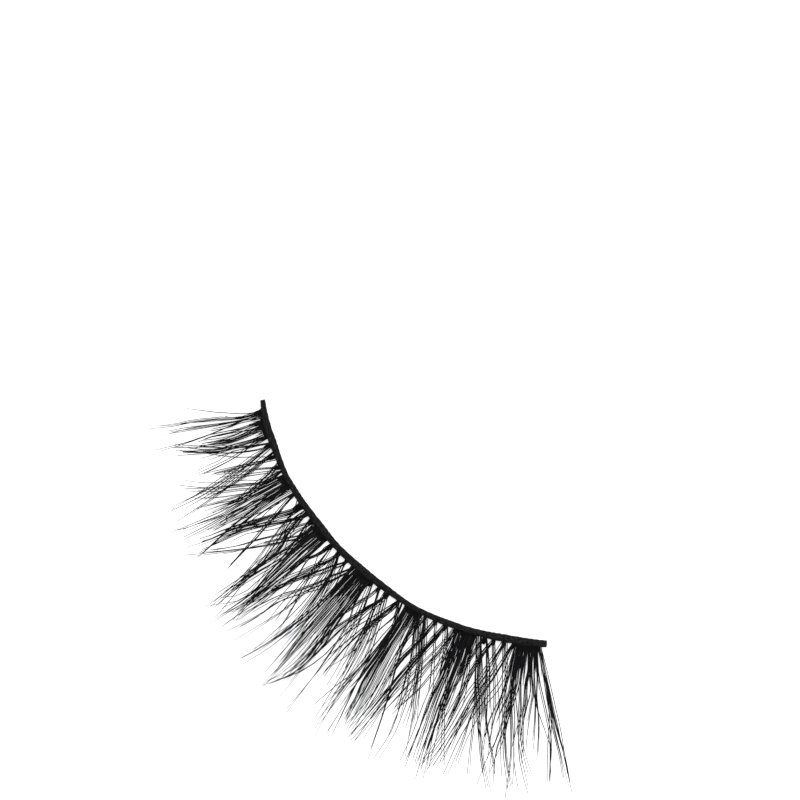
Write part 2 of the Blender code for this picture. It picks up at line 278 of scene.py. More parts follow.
     (5, 0.9, 0.5, 0.6, ((389, 8), (392.2, 20), (394.8, 30), (397, 40), (399, 50), (401, 60), (403, 70),
         (405.5, 82), (409, 98), (412, 112), (415.5, 143))),
     (2, 0.9, ((391, 12), (394.8, 24), (398, 36), (401, 48), (403.8, 60), (406.4, 72), (409, 84),
         (412.8, 108), (416.8, 134))),
     (2, 0.8, 0.8, 0.9, ((390, 14), (394, 30), (397.4, 42), (399.5, 54), (401, 66), (402.4, 76), (402, 97),
         (402.8, 143)))),
)

INWARD_LOCKS = (
    ((4, 1, 1.5, 1.8, ((41, 8), (39.5, 20), (37.5, 30), (33.5, 46), (27, 66), (19, 97))),
     (1, 0, ((44, 33), (40.5, 44), (36.5, 53), (31, 66))),
     (2, 1.2, 1.4, 1.2, ((56, 9), (53.8, 19.4), (50.5, 38), (49.3, 45), (47, 62), (45, 76))),
     (2, 1, ((55, 9), (53, 20), (50, 37), (48.5, 50), (46, 67))),
     (4, 1.4, 2.0, 2.0, ((66, 8), (63.3, 17), (60, 27), (57, 38), (53, 52), (49, 66))),
     (2, 1.2, 1.6, 2, ((70.5, 28), (64.5, 45), (60.5, 59), (55, 80), (46, 102))),
     (2, 1, 1.8, 2.2, ((72, 28), (68.5, 38), (64, 53), (60, 65), (56, 79), (50, 98))),
     (3, 1.5, 1.8, 2, ((73, 40), (69, 52), (65, 66), (60, 82), (55, 95)))),
    ((7, 0.8, 0.65, 0.7, ((109.2, 11), (107, 23), (103.9, 31.5), (101.8, 41), (99.2, 52.5), (97.3, 61.5),
         (95.5, 71), (93.5, 84), (91.5, 105), (89, 120))),
     (2, 1.3, 1.4, 1.4, ((110, 22), (106, 33.6), (104.4, 43), (100.2, 60))),
     (4, 1, 0.9, 1.2, ((118, 12), (115, 22), (111.3, 31.5), (105.5, 46), (101.3, 58.3), (98, 70),
         (95, 85))),
     (2, 1.5, ((114, 27), (111.8, 33), (109.2, 41), (106.5, 49.4), (104, 60))),
     (1, 0, ((112, 45), (107, 56.7), (103.9, 64), (101.8, 72), (100.7, 81))),
     (3, 1, 1.1, 1.3, ((128, 8), (122.8, 25), (120.2, 41), (117.6, 49.4), (113.4, 62), (110.2, 75.7),
         (106, 90), (101.5, 103))),
     (4, 1.5, 1.6, 1.6, ((132, 27), (127.5, 37), (122.8, 48), (118.5, 58))),
     (2, 1.2, 1.3, 1.2, ((126, 48), (120.2, 60.4), (115, 74), (109, 90), (99, 118))),
     (1, 0, ((134, 20), (127, 42), (121, 58), (113, 79), (106, 97), (95.5, 126))),
     (3, 1.2, ((92, 10), (91.8, 31.5), (92.3, 46.7), (93.4, 57.8), (94.4, 67.8), (93.5, 85))),
     (1, 0, ((95, 23), (94, 44), (92.8, 52), (91, 65)))),
    ((3, 1, 1.1, 1.2, ((157.5, 9), (155.4, 24), (153.5, 30), (151.5, 36), (150.5, 44), (150, 60))),
     (3, 1.4, 1.7, 1.7, ((168, 12), (165, 24), (162.3, 31.5), (159.5, 39), (157.5, 49), (154.9, 58),
         (153.3, 65), (151.5, 77))),
     (2, 1.2, 1.5, 1.3, ((166.5, 22), (162.3, 45), (159, 52.5), (156, 66), (153.5, 77), (150, 100),
         (147, 112))),
     (3, 0.9, 0.8, 1, ((178.5, 9), (175.5, 16), (172, 22), (169.5, 28), (165.5, 38), (163, 46), (159.3, 57),
         (156, 66), (152, 84))),
     (2, 1.4, 1.5, 1.5, ((175, 22), (170.5, 33), (166.5, 41), (163, 52))),
     (3, 0.9, 0.6, 0.8, ((187.5, 9), (185.4, 14), (180.7, 24), (178, 29.4), (174.4, 41), (169.6, 52.5),
         (164.9, 65), (160.2, 75.7), (157, 88), (151, 117))),
     (2, 1.4, 1.6, 1.5, ((184, 24), (177, 43), (172.5, 54), (168, 69.4), (162.3, 82), (160, 100),
         (158, 112), (153, 137))),
     (2, 1, ((180, 45), (173, 57), (171, 72), (169.5, 92), (166.3, 113), (162.6, 142)))),
    ((3, 1, 0.9, 1.1, ((219.5, 9), (217.6, 18.3), (216, 24), (211.8, 35.7), (209.2, 45.7), (207, 51),
         (205, 70))),
     (3, 1.1, 0.8, 1, ((230, 9), (226.5, 20), (223.4, 25.7), (218.6, 38.8), (214.4, 50.4), (210.2, 65),
         (208.5, 72), (207, 90))),
     (3, 1.3, 1.5, 1.5, ((228.5, 18), (224, 31), (220.5, 46), (217, 60), (215, 72))),
     (2, 1.4, 1.5, 1.5, ((221, 36), (214, 55), (211.3, 66), (209, 77), (207, 95))),
     (1, 0, ((217, 52), (215.5, 59), (213.9, 70.4), (212.8, 81), (210, 98), (204, 130))),
     (3, 1.1, 1, 1.1, ((242, 10), (238.6, 20.4), (235.5, 31), (230.5, 47), (228, 58), (226, 68), (224, 82),
         (222, 110))),
     (2, 1.3, 1.5, 1.5, ((243.5, 14), (239.5, 27), (235, 40), (232, 52), (231, 66), (230, 80))),
     (2, 0.9, 1, 1, ((248, 16), (245, 30), (242, 40), (240, 50), (238.5, 60))),
     (2, 1, 1.1, 1, ((250, 30), (247, 49), (246, 60), (244.5, 75), (241.6, 100), (237, 115),
         (233.5, 133)))),
    ((3, 1, 1.1, 1.1, ((273, 9), (270.5, 20), (268.5, 31), (267, 40), (266, 55))),
     (4, 1, 1.1, 1.3, ((283.5, 9), (280.7, 20.4), (277.6, 31.5), (274.7, 42), (270.7, 55), (269, 63),
         (267.5, 80))),
     (1, 0, ((279.5, 32), (277, 40), (274.5, 50), (272.5, 60), (271, 69), (268, 88))),
     (5, 1.1, 1.2, 1.3, ((294, 9), (291, 19), (287.5, 29), (284, 40), (280.7, 50), (278, 60), (275.5, 70),
         (272.8, 84), (269, 104), (262, 143))),
     (2, 0.9, 1, 1, ((288, 38), (283, 52), (281, 62), (278, 74), (276, 86), (273, 108), (269, 144))),
     (4, 1.2, 1.4, 1.4, ((304, 9), (300.2, 24), (296.5, 35), (292, 48), (289, 57), (286, 68), (283, 80),
         (279, 96), (274, 118))),
     (2, 1.2, 1.5, 1.4, ((300.5, 33), (297, 45), (293, 60), (290.5, 73), (288, 82), (284.5, 100))),
     (2, 1.4, 1.6, 1.4, ((303, 40), (299.5, 60), (296.5, 72), (294.5, 80), (290, 92), (286, 106)))),
    ((4, 0.9, 0.9, 1.1, ((334, 9), (330.8, 17), (327.7, 28), (325, 38), (323, 50), (320, 70))),
     (4, 1, 0.9, 1.2, ((343.5, 9), (337.2, 22), (334, 32.5), (330.3, 44), (328.2, 56), (326, 73),
         (323.5, 90), (321, 105))),
     (1, 0, ((337, 30), (334.3, 38.8), (331.4, 54.6), (329, 72), (327, 90))),
     (3, 1.4, 1.5, 1.5, ((353, 9), (348.5, 22), (345, 32), (342, 42), (338, 53), (334, 64), (331.5, 74),
         (329.5, 86), (326, 105), (318, 141))),
     (2, 1.3, 1.5, 1.6, ((345, 44), (338.7, 61), (335, 76), (332, 92), (327, 115), (322, 135))),
     (3, 1.3, 1.5, 1.5, ((363, 9), (358.7, 20.4), (354, 34.6), (349.8, 47.8), (346, 58), (342.4, 70),
         (338.2, 83), (332, 105), (324, 145))),
     (2, 1.4, 1.5, 1.5, ((359, 44), (355.5, 56), (350, 66), (346.5, 76), (342, 90), (337, 113),
         (333.5, 142)))),
)

OUTWARD_LOCKS = (
    ((3, 1.3, 1, 0.8, ((33, 14), (36, 26), (39, 37), (41.5, 50), (43.5, 66), (45.3, 84))),
     (1, 0, ((34, 50), (36.5, 58), (37, 72), (37.5, 82))),
     (1, 0, ((42.5, 14), (44.5, 31), (48.7, 47), (52.7, 72.5), (56, 95), (57.5, 117))),
     (2, 0.8, 0.9, 0.9, ((43, 12), (46.8, 28.3), (50.1, 43), (53.5, 57.8), (56, 75), (57.8, 95),
         (58.5, 114))),
     (2, 1, 1.2, 1, ((45, 15), (51, 35), (55, 51), (58.8, 70), (61, 88), (63, 118))),
     (2, 1.3, 1.6, 1.6, ((46, 14), (50, 27), (53, 37), (56, 52), (58.5, 66), (60, 80))),
     (2, 1, 1.2, 1, ((49.3, 9), (53.3, 24), (56.8, 38), (59.8, 55.7), (63, 71), (65.5, 88), (69, 117))),
     (3, 1, 1.3, 1, ((52, 15), (55.5, 27), (58, 38), (60, 52), (61.5, 66), (62.5, 85))),
     (3, 1.2, ((62, 9), (66.7, 18.3), (70.3, 31), (73.5, 41), (76, 55), (77, 75))),
     (2, 1.3, 1.5, 1.5, ((64.5, 17), (67.5, 27.3), (71, 43), (74.5, 55), (77, 72)))),
    ((4, 1, 1.2, 1, ((95.5, 9), (97.8, 19.4), (100.2, 26.7), (105.5, 46.7), (109.2, 60), (112.8, 78),
         (117, 100))),
     (1, 0, ((93.5, 18), (94.9, 31.5), (96, 41), (97.8, 49.4), (100, 60))),
     (2, 1, 1.2, 1.2, ((107, 14), (112.3, 30.4), (116.5, 45), (120.2, 57.8), (124.4, 73), (128, 92),
         (131, 125))),
     (2, 1, 1.3, 1.3, ((109, 14), (113.4, 30), (119.7, 44), (123.9, 58.3), (129.2, 75.7), (130.5, 100),
         (131, 130))),
     (2, 1.2, ((114, 20), (118, 34.6), (121.5, 46), (125.5, 62), (129, 80))),
     (4, 1, 1.3, 1.2, ((116.5, 9), (119.5, 22), (122.3, 34.6), (127, 44), (129.7, 54.6), (130.5, 70))),
     (3, 1, 1, 1.2, ((124.7, 8), (127, 15.7), (130.2, 24.6), (133.4, 37.8), (136.5, 52), (139, 70),
         (143, 100))),
     (1, 0, ((121, 38), (125.5, 52.5), (128, 61.5), (130, 75)))),
    ((2, 1, ((153.5, 20), (158.3, 31), (162.5, 41), (164.5, 48), (167, 57), (169, 65), (171, 73), (173, 82),
         (177, 107))),
     (2, 1, ((152.5, 36), (157, 53), (159, 66), (160, 82))),
     (2, 1.4, 1.8, 1.6, ((159, 10), (162, 24), (165.5, 42), (168, 54), (170.5, 66), (172, 82))),
     (3, 1.1, 1.2, 1.1, ((168, 10), (173.3, 22), (175.7, 29.4), (177.3, 37), (179.6, 54), (181.2, 68),
         (182, 82))),
     (2, 1.2, ((169, 26), (171, 38), (172, 46), (173, 56))),
     (1, 0, ((172, 28), (174, 41), (175.7, 52), (176.7, 62.5), (177.3, 76), (177, 110), (176.3, 130))),
     (3, 1.3, 1.4, 1.2, ((178, 10), (180.7, 19.4), (183.8, 27), (185.8, 36), (187, 52))),
     (2, 1, ((176, 27), (179, 38), (181.7, 52.5), (182.8, 62.5), (184, 78), (184, 95))),
     (2, 1.2, ((178.5, 32), (182.5, 48), (185.4, 60), (186, 72))),
     (1, 0, ((182, 32), (184.5, 46), (186.5, 60))),
     (5, 1, 0.7, 0.5, ((188, 28), (187.5, 50), (186.3, 62), (185.5, 76), (183, 92), (180.5, 110),
         (178, 128), (174.3, 146))),
     (2, 1, 1.2, 1, ((186, 10), (188.3, 20), (189, 34)))),
    ((3, 1.6, 1.8, 1.6, ((210, 8), (213, 19), (216, 31), (219.5, 46), (221.5, 60), (222.5, 74))),
     (2, 1, 1, 0.8, ((208, 28), (212, 44), (214.5, 51), (215.8, 60), (216.3, 70), (217.2, 85), (217.5, 108),
         (216, 140), (215.3, 155))),
     (1, 0, ((218, 28), (221, 40), (223.4, 50), (225.5, 61), (227, 75), (228.5, 88), (230, 112))),
     (1, 0, ((214, 22), (217, 36), (220, 52), (222, 68), (222.5, 90), (222, 110))),
     (2, 1.2, 1, 1.1, ((220, 9), (225, 25), (227.5, 37), (229.3, 48), (230.5, 58), (232, 72), (235, 97))),
     (2, 1.4, 1.4, 1.3, ((222, 12), (226.5, 25), (229, 34), (231, 42), (233, 52), (235, 64), (237, 80))),
     (2, 1, ((230.5, 9), (235.5, 24), (239.7, 38.3), (242.8, 53.6), (245, 62.5), (245.5, 80))),
     (3, 1.5, 1.7, 1.6, ((229, 12), (233.5, 27), (237, 42), (240, 56), (242, 70), (243.5, 84))),
     (3, 1.4, 1.6, 1.5, ((228, 18), (231.5, 34), (235, 50), (237, 64), (238, 83), (238.3, 105),
         (239.5, 157))),
     (2, 1.2, ((228, 34), (231.3, 48), (234.4, 65), (236.5, 83), (238, 110))),
     (3, 1, 1.2, 1, ((243, 9), (247, 20), (249.5, 32), (251, 45)))),
    ((3, 1, 0.8, 1, ((267.5, 12), (270, 26), (273, 36), (276, 44), (278.5, 52), (281, 64), (283, 75),
         (285.5, 92), (286.5, 105))),
     (4, 1.2, 1.6, 1.5, ((273, 9), (277, 21), (281, 32), (284, 44))),
     (3, 1.2, 1.6, 1.5, ((267.5, 11), (275, 30), (279.2, 42), (283, 52))),
     (3, 1, 0.8, 1, ((280, 36), (284, 48), (287, 62), (289.5, 73), (291.5, 82), (294.5, 95), (297, 118))),
     (2, 1, 1.2, 1, ((280, 30), (286.5, 48), (289.5, 58), (292, 67), (294.3, 76), (297, 88), (300.5, 105))),
     (1, 0, ((283, 52), (285.7, 70.4), (287, 84), (288, 105), (287.7, 130), (285.3, 148))),
     (1, 0, ((279, 58), (281.3, 70), (283.4, 78), (284.5, 98), (284.5, 125))),
     (3, 0.8, 0.7, 1, ((284.5, 9), (287, 19.4), (289.7, 25.7), (294.4, 40), (298, 53.6), (302.3, 68),
         (304, 80))),
     (4, 1.2, 1.5, 1.4, ((295, 9), (299, 21), (302, 33), (304, 45), (306, 58))),
     (2, 1.2, 1.3, 1.2, ((304.5, 9), (307, 20), (308.5, 34)))),
    ((3, 1, 0.8, 1, ((327, 9), (331, 26), (334, 36), (335.8, 45), (337.5, 54), (340.5, 64), (343, 74),
         (346, 88), (350.5, 104), (355, 124), (361.5, 147))),
     (2, 1, 1.2, 1.2, ((325, 25), (328.3, 46), (329.5, 60), (330, 75))),
     (2, 1.2, 1.4, 1.3, ((336, 9), (338.5, 17), (340, 25), (342, 33), (344, 45), (347.5, 70), (352.6, 90),
         (359, 112), (363, 125), (366, 145))),
     (3, 1.4, 1.4, 1.3, ((330.5, 10), (334, 24), (337, 37), (340, 52), (343, 62), (346, 73), (348, 84))),
     (1, 0, ((341, 45), (344.3, 60), (347.5, 70), (350, 82), (353, 96))),
     (3, 1, 1.2, 1.1, ((343.5, 9), (346, 20), (350, 34), (352, 43), (355, 57), (357.5, 71), (359, 90))),
     (2, 1.3, 1.4, 1.3, ((345.5, 38), (348.5, 56), (350.8, 67.8), (353, 80))),
     (3, 1.2, 1.4, 1.2, ((354.5, 9), (357, 24), (359.8, 40), (362, 56), (364.5, 72), (367, 90))),
     (1, 0, ((357.5, 10), (360.8, 26.7), (363, 38), (365, 52))),
     (1, 0, ((338, 60), (342, 81.5), (345.3, 113), (347.4, 136)))),
)

# Strands that reach out past the bundles, by the node that they belong to. A row is: how many
# fibres, how far apart, and the points (along, out) that they pass through from where they can
# be told apart.
TIP_STRANDS = {
    "tuft_1": (
        (1, 0, ((27.5, 70), (26.3, 76), (24.8, 81), (23, 86), (20, 94))),
        (1, 0, ((30, 72), (28, 78), (26.3, 84), (25, 90))),
        (1, 0, ((25, 74), (21.5, 84), (19, 90), (18, 96)))),
    "tuft_2": (
        (1, 0, ((79, 78), (78.5, 95), (78.2, 105), (78, 115), (77.7, 125))),
        (2, 1, ((83, 76), (86.4, 84), (86, 95)))),
    "inward_locks_2": (
        (1, 0, ((94.5, 84), (93.3, 96), (93.6, 104), (92.8, 113))),
        (2, 1.1, ((98, 74), (96.5, 84), (95.5, 92), (94.5, 99)))),
    "outward_locks_2": (
        (2, 1.2, ((128, 76), (130, 90), (130.6, 100), (131, 108))),
        (2, 1, ((130.5, 70), (131.5, 80), (132, 92), (132.5, 104)))),
    "tuft_3": (
        (1, 0, ((132.5, 90), (133.5, 100), (134.5, 108), (136, 115), (138.5, 130), (139.5, 138))),
        (2, 0.9, ((142, 92), (143, 104), (142, 112), (140, 118), (137.5, 124), (135, 130), (132.5, 136))),
        (2, 0.9, ((146, 84), (145.7, 95), (145, 106), (144.2, 115), (142.5, 122), (141, 130))),
        (2, 0.9, ((148.7, 85), (148.4, 97), (147.9, 108), (148.3, 116), (150, 126))),
        (1, 0, ((136, 74), (138, 84), (139.5, 92), (140.5, 100)))),
    "inward_locks_3": (
        (2, 1, ((152.5, 74), (150.8, 82), (149.5, 92))),
        (2, 0.9, ((154.5, 74), (153.7, 92), (152.5, 108), (151.3, 122), (151, 133))),
        (1, 0, ((160, 85), (159.5, 105), (157.5, 120), (155, 131)))),
    "outward_locks_3": (
        (1, 0, ((164, 82), (165.3, 94), (166.5, 104))),
        (1, 0, ((166.5, 74), (167.5, 85), (168.5, 96))),
        (2, 1, ((181.5, 76), (182.5, 86), (182.3, 98), (181.5, 110)))),
    "tuft_4": (
        (2, 0.9, ((188.5, 78), (187.5, 90), (187, 100), (187.3, 112))),
        (2, 1, ((200.5, 84), (199.5, 94), (199, 104), (198.5, 114))),
        (2, 0.9, ((205.5, 80), (205, 92), (203.8, 108), (202.3, 127), (199.5, 142))),
        (2, 0.9, ((208, 80), (207, 90), (205.5, 108), (204.2, 122))),
        (2, 0.9, ((191, 84), (191.3, 104), (191.2, 118), (191.8, 132)))),
    "inward_locks_4": (
        (2, 0.8, ((213.3, 72), (212.3, 84), (211, 94), (209.3, 110), (208.3, 120))),
        (2, 0.7, ((217.3, 74), (216.8, 84), (215.8, 94), (212.5, 109), (208, 124), (203, 135),
            (197.8, 147))),
        (1, 0, ((224, 72), (220.5, 86), (218.7, 97))),
        (1, 0, ((231.5, 76), (228, 86), (226, 93), (223.5, 99))),
        (2, 1, ((225.5, 72), (224, 88), (222.8, 102)))),
    "outward_locks_4": (
        (1, 0, ((231.3, 74), (231.5, 90), (232, 102))),
        (1, 0, ((222.6, 78), (222.9, 92), (222.4, 106)))),
    "tuft_5": (
        (2, 0.9, ((245, 78), (243, 90), (241.5, 98), (240.2, 106), (239.2, 116))),
        (1, 0, ((243.5, 112), (243.3, 128), (243.5, 138), (243, 147))),
        (2, 0.9, ((249.2, 78), (247.5, 92), (246.5, 99), (245, 107))),
        (2, 0.9, ((250.2, 82), (249, 94), (248, 104), (247, 112), (246, 123))),
        (1, 0, ((249.6, 94), (249.2, 110), (249.4, 127))),
        (2, 0.9, ((255.8, 92), (255.3, 106), (254.8, 120), (254.6, 131)))),
    "inward_locks_5": (
        (2, 0.9, ((268.3, 76), (267.8, 88), (268.3, 98), (266.5, 105), (265, 119))),
        (2, 0.8, ((279.5, 74), (277.5, 84), (275.5, 100), (273.5, 117), (271, 133), (269, 145))),
        (2, 0.8, ((276.5, 74), (275, 84), (273.5, 92), (272.8, 101)))),
    "outward_locks_5": (
        (1, 0, ((283.4, 84), (286.2, 101), (288.4, 118), (287.6, 134), (285.5, 149))),
        (1, 0, ((293.5, 98), (295.5, 108), (296, 117), (297, 126), (298, 136))),
        (2, 0.9, ((292, 84), (293.5, 97), (294.3, 112)))),
    "tuft_6": (
        (2, 0.9, ((307, 80), (307.5, 92), (307, 108), (306.7, 122), (306.9, 136))),
        (2, 0.9, ((309.2, 78), (309, 88), (308.6, 98), (309, 112), (308.3, 125))),
        (2, 0.9, ((314.6, 80), (313.8, 98), (313, 114), (312.5, 130), (312.8, 144))),
        (1, 0, ((315.4, 100), (315.2, 116), (316, 130), (317, 141)))),
    "inward_locks_6": (
        (2, 0.9, ((326.5, 84), (325.5, 100), (322.5, 117), (319.5, 133), (318, 142))),
        (2, 0.9, ((337, 74), (335.5, 84), (334, 100), (332.5, 116), (331, 133))),
        (2, 0.9, ((340, 80), (338.4, 95), (337.7, 111), (336, 126), (334.5, 140)))),
    "outward_locks_6": (
        (1, 0, ((343, 84), (344.6, 100), (345.7, 116), (347.8, 135))),
        (2, 1, ((351, 76), (352, 85), (353.6, 97), (354, 111))),
        (2, 0.8, ((348.2, 84), (349.5, 98), (352, 110), (354.5, 122), (358, 134), (361, 146)))),
    "tuft_7": (
        (3, 0.9, ((360, 66), (357.5, 75), (356, 82), (355.2, 91), (354.8, 99))),
        (3, 0.7, ((366.7, 74), (366.6, 84), (368, 98), (370, 113), (372.3, 127), (375.3, 142))),
        (2, 0.8, ((366.5, 86), (365.8, 98), (363.5, 112), (360.8, 124), (358.5, 143))),
        (2, 0.9, ((374, 76), (376, 92), (376.8, 106), (379, 124), (382, 138), (384, 146))),
        (2, 0.9, ((380.6, 76), (381.7, 92), (382.7, 105), (383.5, 118))),
        (1, 0, ((385, 78), (384.3, 88), (383.5, 103))),
        (1, 0, ((403.5, 80), (405, 90), (407.3, 104), (409.5, 118), (412.3, 139)))),
}

# Glue drops round the roots of the crossing locks and on the glued blocks of the tufts: place
# along the band, half width and how far out it ends, in squares. Heights are in millimetres.
GLUE_DROPS = (
    (41.5, 1.7, 15), (53.5, 2.0, 15), (64.5, 2.0, 14), (95, 1.8, 15), (107.8, 3.0, 18), (117.5, 1.8, 14),
    (126.5, 1.9, 14), (157.8, 2.0, 15), (168.3, 2.1, 15), (178.4, 1.8, 14), (187.4, 1.9, 14),
    (210.5, 2.0, 14), (219.8, 2.0, 14), (229.9, 2.2, 15), (242.6, 2.0, 14), (268.5, 1.4, 14),
    (273.2, 1.7, 13), (284, 2.0, 14), (294.3, 2.2, 15), (304.2, 1.6, 13), (334.8, 2.0, 15),
    (343.6, 2.0, 14), (353.8, 2.1, 14), (363.4, 1.2, 13), (7.8, 2.3, 14), (24, 9.5, 11), (81.3, 7.6, 14),
    (141.5, 9.4, 15), (199.8, 8.6, 15), (259.6, 8.2, 15), (315.5, 8.8, 13), (376.8, 11, 15),
)
DROP_START = 5.0
DROP_FLARE = 2.0  # added half width at the band
DROP_FLARE_RUN = 1.6  # over which the flare falls
DROP_BLUNTNESS = 6  # power of the closing at the end
DROP_RISE = 0.30
DROP_HALF_HEIGHT = 0.22
DROP_THINNING = 1.5  # power of the fall in height
DROP_RINGS = 12
DROP_LAST_RING = 0.985  # share of the length at which the cap lies
DROP_SIDES = 10

# Short fibres that fill each tuft's glued root: from and to along the band, how many, and the
# longest one's reach
TUFT_FILL = (
    (6, 34, 32, 24),
    (73, 89, 20, 46),
    (132, 150, 28, 48),
    (191, 208, 28, 50),
    (250, 268, 14, 32),
    (306, 325, 36, 56),
    (365, 388, 30, 50),
)


# Fibres

def bundle_lines(bundle, slant):
    """Lines of one bundle, as along and out for each fibre and ring. Each fibre keeps its place
    across the bundle, times a spacing that opens exponentially from the root's to the middle's
    and changes evenly to the tips'. Its length and its slant are its own, and so is its bend,
    which grows as the cube of the way along it. Where the roots stand apart, short fibres stand
    among the long ones."""
    reach = bundle.points[-1][1]
    across = np.arange(bundle.count) - (bundle.count - 1) / 2.0
    across += rng.uniform(-UNEVEN, UNEVEN, bundle.count)
    end = reach * PAST_TIP * rng.uniform(SHORTEST, 1.0, bundle.count)
    end[rng.integers(bundle.count)] = reach * PAST_TIP
    if bundle.root_spacing > STACKED:
        short = round(bundle.count * SHORT_SHARE)
        across = np.append(across, rng.uniform(-0.5, 0.5, short) * bundle.count)
        end = np.append(end, np.minimum(reach, rng.uniform(*SHORT_REACH, short)))
    run = (end[:, None] - FIBRE_ROOT) * RINGS
    out = FIBRE_ROOT + run
    share = np.clip(run / (reach - FIBRE_ROOT), 0.0, 1.0)
    opened = 1.0 - np.exp(-run / SPREAD_RUN)
    opening = bundle.middle_spacing - bundle.root_spacing
    closing = bundle.tip_spacing - bundle.middle_spacing
    spacing = bundle.root_spacing + opening * opened + closing * share
    lean = rng.normal(0.0, slant, len(end))[:, None] * run
    bend = rng.normal(0.0, TIP_BEND, len(end))[:, None] * RINGS ** BEND_POWER
    along = smooth_through(bundle.points, out) + across[:, None] * spacing + lean + bend
    return along, out


def charted(row):
    """A bundle from its row. A single spacing holds from the root to the tips."""
    count, *spacings, points = row
    if len(spacings) == 1:
        spacings = spacings * 3
    return Bundle(count, *spacings, points)


def is_rooted(bundle):
    """Whether a bundle's chart starts at the band."""
    return bundle.points[0][1] < ROOTED


def led_from_band(points, bundles):
    """Points of a line that starts away from the band, led up to it. From the band to a little
    before its first point the line follows the rooted bundle that passes nearest to that point,
    moved over by a share of the gap that grows evenly from nothing at the band."""
    start_along, start_out = points[0]
    rooted = [bundle.points for bundle in bundles if is_rooted(bundle)]
    gaps = [start_along - float(smooth_through(line, start_out)) for line in rooted]
    nearest = int(np.argmin(np.abs(gaps)))
    join = start_out - min(STRAND_EASE, STRAND_EASE_SHARE * start_out)
    before = [(along + gaps[nearest] * out / start_out, out)
              for along, out in rooted[nearest] if out < join]
    return (*before, *points)


def led_bundle(bundle, bundles):
    """The bundle itself, or if it starts away from the band the same bundle led up to it."""
    if is_rooted(bundle):
        return bundle
    return bundle._replace(root_spacing=STACKED, points=led_from_band(bundle.points, bundles))


def strand_bundle(count, spacing, points, bundles):
    """A bundle for a row of tip strands: stacked at its root, opening towards its tips."""
    return Bundle(count, STACKED, STACKED, spacing * STRAND_OPENING, led_from_band(points, bundles))


def fill_lines(first, last, count, longest):
    """Lines of the short fibres at a tuft's root: straight, each with its own small slant."""
    start = first + (last - first) * (np.arange(count) + rng.uniform(*FILL_PLACES, count)) / count
    length = longest * rng.uniform(FILL_SHORTEST, 1.0, count)
    slant = rng.normal(0.0, FILL_SLANT, count)
    run = (length[:, None] - FIBRE_ROOT) * RINGS
    return start[:, None] + slant[:, None] * run, FIBRE_ROOT + run


def tube_faces(count, rings, sides):
    """Faces of tubes whose points are numbered tube by tube and ring by ring: first the walls'
    four corners each, then a cap at each end."""
    number = np.arange(count * rings * sides).reshape(count, rings, sides)
    following = np.roll(number, -1, axis=2)
    corners = (number[:, :-1], following[:, :-1], following[:, 1:], number[:, 1:])
    walls = np.stack(corners, axis=-1).reshape(-1, 4)
    return [*walls.tolist(), *number[:, 0, ::-1].tolist(), *number[:, -1].tolist()]


def circle(sides):
    """Angles of the corners of a section, in radians."""
    return 2.0 * math.pi * np.arange(sides) / sides


def fibre_mesh(name, layer, lines, material):
    """One joined mesh of fibres. Each is a tube of FIBRE_SIDES sides round its line, full to
    TAPER_START of its length and then thinner in a straight taper to TIP_SHARE of its radius."""
    along = np.concatenate([line[0] for line in lines])
    out = np.concatenate([line[1] for line in lines])
    count = len(along)
    lift = rng.uniform(-LIFT, LIFT, count)[:, None]
    steep = rng.uniform(*CURLS, count)[:, None]
    centre = from_chart(along, out, FIRST_LAYER + layer * LAYER_PITCH + lift + steep * curl(layer, out))
    tangent = np.gradient(centre, axis=1)
    tangent /= np.linalg.norm(tangent, axis=2, keepdims=True)
    side = np.cross(tangent, np.array([0.0, 0.0, 1.0]))
    side /= np.linalg.norm(side, axis=2, keepdims=True)
    over = np.cross(side, tangent)
    taper = 1.0 - (1.0 - TIP_SHARE) * np.clip((RINGS - TAPER_START) / (1.0 - TAPER_START), 0.0, 1.0)
    radius = FIBRE_RADIUS * MM * rng.uniform(*THICKNESSES, count)[:, None] * taper
    angle = circle(FIBRE_SIDES)[:, None]
    ring = np.cos(angle) * side[:, :, None, :] + np.sin(angle) * over[:, :, None, :]
    points = centre[:, :, None, :] + radius[:, :, None, None] * ring
    tone = np.repeat(rng.uniform(0.0, 1.0, count), FIBRE_RINGS * FIBRE_SIDES)
    share = np.tile(np.repeat(RINGS, FIBRE_SIDES), count)
    faces = tube_faces(count, FIBRE_RINGS, FIBRE_SIDES)
    return joined_mesh(name, points, faces, material, tone=tone, length_share=share)


def glue_piece(material):
    """The glue drops as one mesh. Each is a lump whose half width falls from its flare at the
    band to its own half width, exponentially, and closes bluntly at its end. Its section is an
    ellipse whose height falls to nothing along a power curve, so the fibres come out of it."""
    place, half_width, end = (column[:, None] for column in np.array(GLUE_DROPS).T)
    share = np.linspace(0.0, DROP_LAST_RING, DROP_RINGS)
    out = DROP_START + (end - DROP_START) * share
    flare = DROP_FLARE * np.exp(-(out - DROP_START) / DROP_FLARE_RUN)
    half = (half_width + flare) * np.sqrt(1.0 - share ** DROP_BLUNTNESS)
    thinning = 1.0 - share ** DROP_THINNING
    angle = circle(DROP_SIDES)
    along = place[:, :, None] + half[:, :, None] * np.cos(angle)
    up = DROP_RISE + DROP_HALF_HEIGHT * thinning[:, None] * np.sin(angle)
    faces = tube_faces(len(GLUE_DROPS), DROP_RINGS, DROP_SIDES)
    return joined_mesh("root_glue", from_chart(along, out[:, :, None], up), faces, material)


